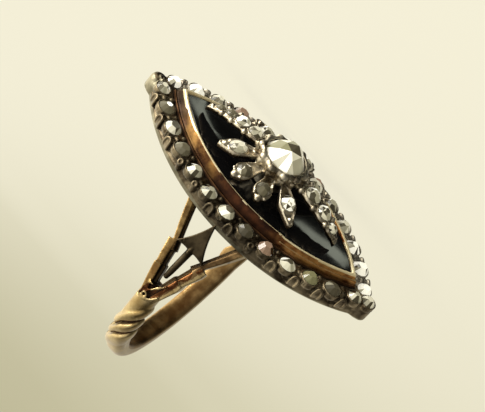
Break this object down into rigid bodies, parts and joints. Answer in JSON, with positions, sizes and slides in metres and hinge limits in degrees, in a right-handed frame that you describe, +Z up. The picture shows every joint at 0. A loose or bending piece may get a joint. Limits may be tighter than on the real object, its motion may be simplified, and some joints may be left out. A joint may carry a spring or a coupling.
{
  "type": "rose-cut diamond ring",
  "caption": "Gold ring with a long pointed-oval head: a black plaque carrying a silver flower set with rose-cut diamonds, in a gold collar and a diamond-set silver border.",
  "frame": {"origin": "on the surface that the ring lies on, under the middle of its bounding box", "axes": "+Z up from that surface, on which the ring lies as it lies by itself, on a long side of its head with the face turned down; the finger hole runs along X, and the face and the near shoulder look towards -Y"},
  "size_m": [0.026, 0.0218, 0.0219],
  "materials": {
    "gold": "worn polished gold, red-brown in its carved grooves",
    "collar_gold": "brown tarnished gold with a bright edge",
    "silver": "aged silver, grey-brown, bright where it is worn",
    "flower_silver": "aged silver, dark in its grooves",
    "black_stone": "polished, glossy black",
    "diamond": "clear cut stone"
  },
  "bodies": {
    "root": {"shank": "gold", "border": "silver", "collar": "collar_gold", "plaque": "black_stone", "flower": "flower_silver", "centre_diamond": "diamond", "shoulder_star_near": "silver", "shoulder_star_far": "silver", "border_diamond_01": "diamond", "border_diamond_02": "diamond", "border_diamond_03": "diamond", "border_diamond_04": "diamond", "border_diamond_05": "diamond", "border_diamond_06": "diamond", "border_diamond_07": "diamond", "border_diamond_08": "diamond", "border_diamond_09": "diamond", "border_diamond_10": "diamond", "border_diamond_11": "diamond", "border_diamond_12": "diamond", "border_diamond_13": "diamond", "border_diamond_14": "diamond", "border_diamond_15": "diamond", "border_diamond_16": "diamond", "border_diamond_17": "diamond", "border_diamond_18": "diamond", "border_diamond_19": "diamond", "border_diamond_20": "diamond", "border_diamond_21": "diamond", "border_diamond_22": "diamond", "border_diamond_23": "diamond", "border_diamond_24": "diamond", "border_diamond_25": "diamond", "border_diamond_26": "diamond", "border_diamond_27": "diamond", "petal_diamond_1": "diamond", "petal_diamond_2": "diamond", "petal_diamond_3": "diamond", "petal_diamond_4": "diamond", "petal_diamond_5": "diamond", "petal_diamond_6": "diamond", "petal_diamond_7": "diamond", "petal_diamond_8": "diamond", "leaf_diamonds_1": "diamond", "leaf_diamonds_2": "diamond"}
  },
  "joints": []
}
